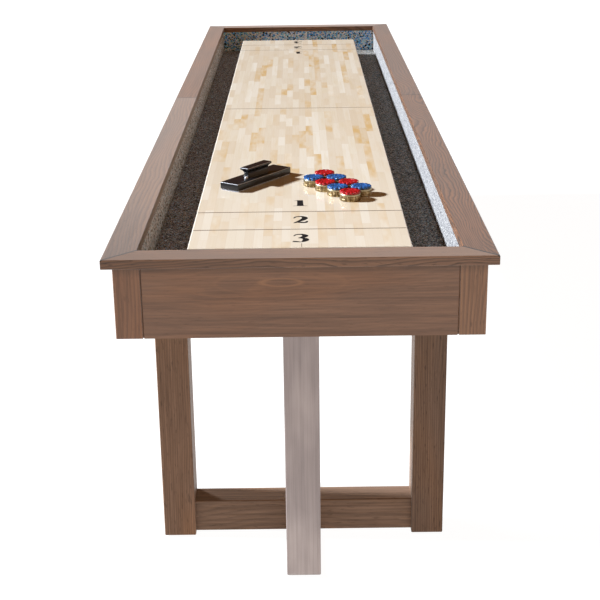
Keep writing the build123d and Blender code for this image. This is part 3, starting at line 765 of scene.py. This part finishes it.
def penStroke(points, turn, place, proud):
    # a flat ribbon: middle line plus and minus half the width, square to the line, closed above and below
    path = smoothPath(points) * 0.001
    along = np.gradient(path[:, :2], axis=0)
    square = np.stack([-along[:, 1], along[:, 0]], 1) / np.linalg.norm(along, axis=1)[:, None]
    half = np.maximum(path[:, 2:3], marks["thinnest"]) / 2
    left, right = path[:, :2] + half * square, path[:, :2] - half * square
    ring = []
    for flat, height in ((left, 0.0), (right, 0.0), (right, proud), (left, proud)):
        x, y = turn * flat[:, 0] + place[0], turn * flat[:, 1] + place[1]
        ring.append(np.stack([x, y, np.full_like(x, place[2] + height)], 1))
    return closedRows(np.stack(ring, 1)), True


def printInk(name, colour):
    # flat ink that the grain shows through a little
    place = newFinish(name)
    wear = streaks(place, (500.0, 30.0, 1.0), 2.0)
    wearAndPaintedLight = tuple(min(1, 2.2 * v) for v in colour)
    colour = blend(between(wear, 0.55, 0.8, 0.0, 0.35), colour, wearAndPaintedLight)
    return finished(colour, between(wear, 0.3, 0.7, 0.5, 0.6), (wear, 0.05, 0.0001), {"Specular IOR Level": 0.2})


fieldTop = fieldHigh[2]
numeralGrids = []
for end in (-1, 1):
    for name, place in zip(("one", "two", "three"), marks["numeralPlaces"]):
        for count, stroke in enumerate(marks[name]):  # each stroke lies over the one before
            centre = (-end * marks["numeralShift"], end * place, fieldTop)
            numeralGrids.append(penStroke(stroke, -end, centre, marks["proud"] * (1 + 0.25 * count)))
makePiece("numerals", numeralGrids, printInk("numeralInk", (0.012, 0.012, 0.013)), "table")

lineGrids = []
lineProud = marks["linesProud"] * marks["proud"]
sideReach, endReach = (1000 * fieldHigh[i] - marks["margin"] for i in (0, 1))
tick = [(0, place, marks["tickWidth"]) for place in (*marks["tick"], endReach)]
line = [(place, 0, 1000 * marks["lineWidth"]) for place in (-sideReach, 0, sideReach)]
for end in (-1, 1):
    lineGrids.append(penStroke(tick, end, (-end * marks["tickShift"], 0, fieldTop), lineProud))
for place in (-marks["lines"][1], -marks["lines"][0], 0.0, *marks["lines"]):
    lineGrids.append(penStroke(line, 1, (0, place, fieldTop), lineProud))
makePiece("scoreLines", lineGrids, printInk("lineInk", (0.13, 0.085, 0.055)), "table")
print("lines and numerals printed")

# puck: a turned weight and a fluted cap
puck = {
    "reeds": 60,  # grip ridges round the weight
    "reedDepth": 0.0005,
    "segments": 240,
    "flutes": 14,
    "fluteDepth": 0.0025,
    "fluteMouth": (0.0016, 0.62, 0.28),  # on the top face: depth, share of the radius where it starts, its width
    "capSegments": 168,
    "capRadius": 0.0265,
    "capSide": 0.0065,
    "capTurn": 0.37,  # radians from one cap to the next
    "spigot": 0.0198,  # the part of the cap that sits in the weight
    "spigotReach": 0.0039,
    "topSink": 0.0002,  # the top face lies this far under the height of the cap
    "edgeFall": (0.0003, 0.0185, 0.006),  # and falls by this from a radius, over a width
    "dish": (0.0015, 0.0165, 0.0028),  # depth, radius, width of its slope
    "petals": 7,
    # low swellings of the top face: height, radius, width
    "ring": (0.0005, 0.0105, 0.0012),
    "innerPetals": (0.0005, 0.0065, 0.003),
    "outerPetals": (0.0004, 0.0205, 0.0022),
}


def puckWeight(name, number, finish):
    # turned shape: radius and height along a profile, carried round; the grip band is cut in and reeded
    middle, low, high = boxMiddle(name)
    radius, height = (high[0] - low[0]) / 2, high[2] - low[2]
    foot = marks["clear"]
    # radius, height, and 1 where it is reeded; most places are given as inset from the radius
    profile = [(0, 0.0025, 0), (0.013, 0.0025, 0), (0.0152, 0.0004, 0), (0.0156, foot, 0), (0.02, foot, 0)]
    profile += [(radius - inset, up, 0) for inset, up in (
        (0.0012, foot), (0.0006, 0.0002), (0.0002, 0.0006), (0, 0.0012),
        (0, 0.003), (0, 0.0051), (0.0002, 0.0054), (0.0008, 0.0059),
    )]
    profile += [(radius - 0.0006, up, 1) for up in np.linspace(0.0062, 0.0123, 7)]
    profile += [(radius - inset, up, 0) for inset, up in (
        (0.0008, 0.0126), (0.0002, 0.0131), (0, 0.0134), (0, 0.015),
        (0, height - 0.002), (0.0001, height - 0.0012), (0.0003, height - 0.0007),
        (0.0007, height - 0.0002), (0.0012, height),
    )]
    profile += [(0.0235, height, 0), (0.02, height, 0)]
    profile += [(across, height - 0.004, 0) for across in (0.02, 0.01, 0)]
    profile = np.array(profile)
    angle = roundAngles(puck["segments"]) + number
    reed = puck["reedDepth"] * (0.5 - 0.5 * np.cos(puck["reeds"] * angle))
    grid = turnedShape(middle, profile[:, :1] - profile[:, 2:] * reed, low[2] + profile[:, 1:2], angle)
    makePiece(f"puckWeight{number}", [(grid, True)], finish, f"puck_{number}", [name], 28.0)


def puckCap(name, number, finish):
    # radius = profile radius less a notch at each flute; the top is a dished disc:
    # height = smooth step down at the dish + a low ring + petals, which are a cosine of the angle
    middle, _, high = boxMiddle(name)
    outer, topZ = puck["capRadius"], high[2]
    seat = topZ - puck["capSide"]
    angle = roundAngles(puck["capSegments"])
    notch = (0.5 + 0.5 * np.cos(puck["flutes"] * angle)) ** 2
    share = np.array([
        0, 0.06, 0.12, 0.18, 0.24, 0.3, 0.36, 0.42, 0.47, 0.51,
        0.545, 0.58, 0.62, 0.67, 0.72, 0.77, 0.82, 0.86, 0.9, 0.935,
    ])[:, None]
    r = share * outer

    def swell(height, radius, width):
        return height * np.exp(-((r - radius) / width) ** 2)

    dishDepth, dishRadius, dishSlope = puck["dish"]
    fall, fallStart, fallWidth = puck["edgeFall"]
    step = np.clip((dishRadius - r) / dishSlope, 0, 1)
    flat = -puck["topSink"] - fall * np.clip((r - fallStart) / fallWidth, 0, 1) ** 2
    flat = flat - dishDepth * step**2 * (3 - 2 * step) + swell(*puck["ring"])
    bloom = swell(*puck["innerPetals"]) + swell(*puck["outerPetals"])
    mouthDepth, mouthStart, mouthWidth = puck["fluteMouth"]
    rim = mouthDepth * np.clip((share - mouthStart) / mouthWidth, 0, 1) * notch
    top = flat + bloom * np.minimum(np.cos(puck["petals"] * angle), 0) - rim

    side = np.array([  # share of the radius, depth under the top face
        (0.965, 0.0006), (0.985, 0.0011), (0.997, 0.0017), (1.0, 0.0024),
        (1.0, 0.0036), (1.0, 0.005), (0.997, 0.0058), (0.985, puck["capSide"] - 0.0002),
    ])
    spigotFoot = seat - puck["spigotReach"]
    under = np.array([(puck["spigot"], seat), (puck["spigot"], spigotFoot), (0.0, spigotFoot)])
    even = 0 * angle  # carries a column round the cap unchanged
    radius = [r + even, side[:, :1] * outer - puck["fluteDepth"] * notch, under[:, :1] + even]
    height = [topZ + top, topZ - puck["topSink"] - side[:, 1:] + even, under[:, 1:] + even]
    turned = angle + puck["capTurn"] * number
    grid = turnedShape(middle, np.concatenate(radius), np.concatenate(height), turned)
    makePiece(f"puckCap{number}", [(grid, True)], finish, f"puck_{number}", [name], 50.0)


brassTones = {
    "bright": (0.6, 0.47, 0.27), "dull": (0.42, 0.3, 0.14), "dark": (0.06, 0.038, 0.018),
    "pale": (0.8, 0.7, 0.46), "rim": (0.5, 0.47, 0.33),
    "paleRimHighlightRise": (0.0135, 0.0155),  # heights above the playfield between which it turns to the rim tone, a painted highlight at the top edge
}


def turnedBrass():
    # turning marks: fine rings by height; darker and paler streaks run up the side as a painted reflection, over
    # tarnish clouds
    place = newFinish("turnedBrass")
    rings = streaks(place, (30.0, 30.0, 1600.0), 2.0)
    paintedReflectionStreaks = streaks(place, (250.0, 250.0, 40.0), 2.0, 0.55)
    cloud = speckle(place, 130.0, 3.0, 0.6)
    weightRise = less(axesOf(place)["Z"], fieldTop)
    colour = coated(
        brassTones["bright"],
        (between(cloud, 0.35, 0.65), brassTones["dull"]),
        # painted reflection: darker and paler streaks running up the side
        (between(paintedReflectionStreaks, 0.48, 0.58, 0.0, 0.7), brassTones["dark"]),
        (between(paintedReflectionStreaks, 0.44, 0.36, 0.0, 0.6), brassTones["pale"]),
        (between(rings, 0.48, 0.62, 0.0, 0.7), brassTones["dark"]),
        # painted highlight: the top of the weight in a paler, less yellow tone
        (between(weightRise, *brassTones["paleRimHighlightRise"]), brassTones["rim"]),
    )
    return finished(colour, between(rings, 0.3, 0.7, 0.3, 0.42), (rings, 0.1, 0.0002), {"Metallic": 1.0})


def mouldedCap(name, colour, deep, bright):
    # glossy moulded plastic, slightly rippled, with darker flow marks and a net of paler lines that is a painted
    # highlight
    place = newFinish(name)
    ripple = speckle(place, 360.0)
    flow = speckle(place, 230.0, 3.0, 0.6)
    cells = put("TexVoronoi", {"Vector": place, "Scale": 210.0}, feature="DISTANCE_TO_EDGE")
    # painted highlight: paler lines along the edges of the cells
    paintedHighlights = between(cells.outputs["Distance"], 0.09, 0.02, 0.0, 0.6)
    colour = coated(colour, (between(flow, 0.42, 0.6), deep), (paintedHighlights, bright))
    return finished(colour, between(ripple, 0.3, 0.7, 0.15, 0.28), (ripple, 0.9, 0.003), {
        "Specular IOR Level": 0.6,
        "Coat Weight": 0.4,
        "Coat Roughness": 0.14,
    })


brass = turnedBrass()
# each cap: its colour, the darker flow colour, and the paler colour of its painted highlights
capFinishes = {
    "red": mouldedCap("redCap", (0.6, 0.003, 0.01), (0.19, 0.001, 0.003), (0.8, 0.035, 0.055)),
    "blue": mouldedCap("blueCap", (0.009, 0.125, 0.44), (0.002, 0.015, 0.1), (0.08, 0.3, 0.72)),
}
capColours = {1: "blue", 2: "red", 3: "blue", 4: "red", 5: "red", 6: "blue", 7: "red", 8: "blue"}
for number, colourName in capColours.items():
    puckWeight(f"puck_weight_{number}", number, brass)
    puckCap(f"puck_cap_{number}", number, capFinishes[colourName])
print("pucks turned")

# brush: a block, a waisted handle, a screw and a pad of bristles
brush = {
    "turn": 54.6,  # degrees from straight across
    "length": 0.234,
    "width": 0.06,
    "corner": 0.0022,
    "cornerLeast": 0.0004,
    "edge": 0.0019,
    "lowEdge": 0.0006,
    # painted highlight: the pale colour laid along the top edges of the block and the handle
    "paintedEdgeHighlight": (0.72, 0.76, 0.84),
    "highlightFadeUp": 0.0004,  # it fades over this height above the block
    "highlightDepths": (0.0032, 0.0028),  # and starts again between these depths under the top of the handle
    "handleLength": 0.106,
    "handleCorner": 0.0015,
    "handleLip": 0.005,  # straight part over the hollow sides
    "endWaist": 0.0445,  # half lengths of the handle
    "endFoot": 0.042,
    "handleTop": 0.0135,  # half widths of the handle
    "handleWaist": 0.0065,
    "handleFoot": 0.012,
    "slotHalf": 0.0005,  # half width of the screw's slot
    "slotDepth": 0.0008,
    "slotReach": 0.62,  # share of the screw's radius
    "slotTurn": 0.6,  # radians
    "padInset": 0.0037,  # from the sides of the block to the outer tufts
    "tuftPitch": 0.004,
    "tuftRadius": 0.0019,
    "tuftScatter": 0.0003,
    "tuftSpread": 0.0004,
}
blockMiddle, blockLow, blockHigh = boxMiddle("brush_block")
_, handleLow, handleHigh = boxMiddle("brush_handle")
lengthWay = np.array((cos(radians(brush["turn"])), sin(radians(brush["turn"])), 0))
widthWay = np.array((-lengthWay[1], lengthWay[0], 0))
upWay = np.array((0.0, 0.0, 1.0))


def toBrush(along, across, up):
    # brush coordinates: along its length, across it, and height above the playfield
    return (blockMiddle * (1, 1, 0) + along[..., None] * lengthWay
            + across[..., None] * widthWay + up[..., None] * upWay)


def brushRow(halfLong, halfWide, corner, height, steps=7):
    # a level outline of four quarter circles joined by straight sides, as one closed loop
    quarter = np.linspace(0, pi / 2, steps)
    along, across = [], []
    for turn, (sx, sy) in enumerate(((1, 1), (-1, 1), (-1, -1), (1, -1))):
        angle = quarter + turn * pi / 2
        along.append(sx * (halfLong - corner) + corner * np.cos(angle))
        across.append(sy * (halfWide - corner) + corner * np.sin(angle))
    along, across = np.concatenate(along), np.concatenate(across)
    return toBrush(along, across, np.full_like(along, height))


def easedEdge(edge, steps):
    # a rounded edge from the side to the top: drawn in by edge - edge cos a, and down by edge - edge sin a
    turnUp = np.linspace(0, pi / 2, steps)
    return edge * (1 - np.cos(turnUp)), edge * (1 - np.sin(turnUp))


def glossBlack():
    # lacquered black with a little dust; haze makes it duller in places
    place = newFinish("glossBlack")
    dust = speckle(place, 1500.0)
    haze = speckle(place, 28.0)
    # painted highlight on the edges: pale where the surface turns from level to upright, at the top of the block
    # and of the handle
    tilt = axesOf(put("NewGeometry").outputs["Normal"])["Z"]
    height = axesOf(place)["Z"]
    paintedEdgeHighlight = band(tilt, 0.15, 0.4, 0.8, 0.97)
    onBlock = between(height, blockHigh[2], blockHigh[2] + brush["highlightFadeUp"], 1.0, 0.0)
    onHandle = between(height, *(handleHigh[2] - under for under in brush["highlightDepths"]))
    paintedEdgeHighlight = times(paintedEdgeHighlight, sums("MAXIMUM", onBlock, onHandle))
    # the painted highlight, stronger or weaker with the haze
    wearAndPaintedLight = times(paintedEdgeHighlight, between(haze, 0.3, 0.7, 0.45, 0.75))
    colour = coated(
        (0.007, 0.008, 0.011),
        (between(dust, 0.62, 0.8, 0.0, 0.2), (0.04, 0.036, 0.036)),
        (wearAndPaintedLight, brush["paintedEdgeHighlight"]),
    )
    return finished(colour, between(haze, 0.3, 0.7, 0.26, 0.32), (dust, 0.03, 0.0001), {
        "Specular IOR Level": 0.35,
        "Coat Weight": 0.25,
        "Coat Roughness": 0.2,
    })


# block: a straight side between two eased edges
black = glossBlack()
lowIn, lowDown = easedEdge(brush["lowEdge"], 6)
topIn, topDown = easedEdge(brush["edge"], 6)
blockRows = [
    brushRow(
        brush["length"] / 2 - inset, brush["width"] / 2 - inset,
        max(brush["corner"] - inset, brush["cornerLeast"]), height)
    for inset, height in zip(
        [*lowIn[::-1], *topIn], [*(blockLow[2] + lowDown[::-1]), *(blockHigh[2] - topDown)])
]
makePiece("brushBlock", [(closedRows(blockRows), True)], black, "brush", ["brush_block"], 40.0)

# handle: half size = waist + (foot or top - waist) * (height from the waist / its reach) squared, both ways
handleRise = handleHigh[2] - handleLow[2]
waistHeight = (handleRise - brush["handleLip"]) / 2
up = np.linspace(0, 2 * waistHeight, 19)
reach = (up - waistHeight) / waistHeight
lipIn, lipDown = easedEdge(brush["edge"], 7)


def hollowed(foot, waist, top):
    # half sizes from the foot to the eased top edge
    return np.concatenate([waist + np.where(reach < 0, foot - waist, top - waist) * reach**2, top - lipIn])


halfWide = hollowed(brush["handleFoot"], brush["handleWaist"], brush["handleTop"])
halfLong = hollowed(brush["endFoot"], brush["endWaist"], brush["handleLength"] / 2)
handleRows = [
    brushRow(long, wide, brush["handleCorner"], handleLow[2] + height)
    for wide, long, height in zip(halfWide, halfLong, np.concatenate([up, handleRise - lipDown]))
]
makePiece("brushHandle", [(closedRows(handleRows), True)], black, "brush", ["brush_handle"], 40.0)

# screw: a pan head, radius and height along its profile, with a slot across the top
screwMiddle, screwLow, screwHigh = boxMiddle("brush_screw")
screwRadius, screwRise = (screwHigh[0] - screwLow[0]) / 2, screwHigh[2] - screwLow[2]
roundUp = np.linspace(0, pi / 2, 9)
profile = np.concatenate([
    [(0, 0), (0.6, 0), (1.0, 0)],
    np.stack([0.62 + 0.38 * np.cos(roundUp), 0.42 + 0.58 * np.sin(roundUp)], 1),
    [(share, 1.0) for share in (0.5, 0.4, 0.3, 0.2, 0.1, 0)],
])
angle = roundAngles(64)
radius = profile[:, :1] * screwRadius
onTop = (radius < brush["slotReach"] * screwRadius) * (profile[:, 1:] > 0.9)
slotted = (np.abs(radius * np.sin(angle)) < brush["slotHalf"]) * onTop
height = profile[:, 1:] * screwRise - brush["slotDepth"] * slotted
screwGrid = turnedShape(screwMiddle, radius, screwLow[2] + height, angle + brush["slotTurn"])
chrome = platedSteel("brightChrome", (0.93, 0.96, 1.0), 0.3, 500.0, 0.5)
makePiece("brushScrew", [(screwGrid, True)], chrome, "brush", ["brush_screw"], 30.0)

# bristles: rows of short tufts, each a six-sided stalk that spreads a little towards its tip
_, bristleLow, bristleHigh = boxMiddle("brush_bristles")
chance = np.random.default_rng(5)
tuftRows = []
for side in ("length", "width"):
    half = brush[side] / 2 - brush["padInset"]
    tuftRows.append(np.linspace(-half, half, 1 + round(2 * half / brush["tuftPitch"])))
scatter, spread = brush["tuftScatter"], brush["tuftSpread"]
tuftLong, tuftWide = (
    v.ravel() + chance.uniform(-scatter, scatter, v.size) for v in np.meshgrid(*tuftRows, indexing="ij")
)
bristleFoot = bristleLow[2] + marks["clear"]
bristleRise = bristleHigh[2] - bristleFoot
hexagon = roundAngles(6)
width = brush["tuftRadius"] * np.array([0.0, 1.0, 0.86, 0.8, 0.0])[:, None]
lift = np.array([0.0, 0.0, 0.55, 1.0, 1.0])[:, None]
bristleGrids = []
for long, wide in zip(tuftLong, tuftWide):
    longLean, wideLean = chance.uniform(-spread, spread, 2)
    along = long + width * np.cos(hexagon) + (1 - lift) * longLean
    across = wide + width * np.sin(hexagon) + (1 - lift) * wideLean
    bristleGrids.append((toBrush(along, across, bristleFoot + lift * bristleRise + 0 * along), True))


def bristleFibre():
    # fine vertical hair, a little lighter in some tufts
    place = newFinish("bristleFibre")
    hair = streaks(place, (2200.0, 2200.0, 60.0), 2.0)
    tuftTone = speckle(place, 220.0, 1.0)
    colour = coated(
        (0.25, 0.28, 0.38),
        (between(hair, 0.35, 0.7), (0.66, 0.72, 0.88)),
        (between(tuftTone, 0.4, 0.7, 0.0, 0.5), (0.85, 0.9, 1.0)),
    )
    return finished(colour, 0.6, (hair, 0.5, 0.0004))


makePiece("brushBristles", bristleGrids, bristleFibre(), "brush", ["brush_bristles"], 40.0)
print("brush made:", tuftLong.size, "tufts")
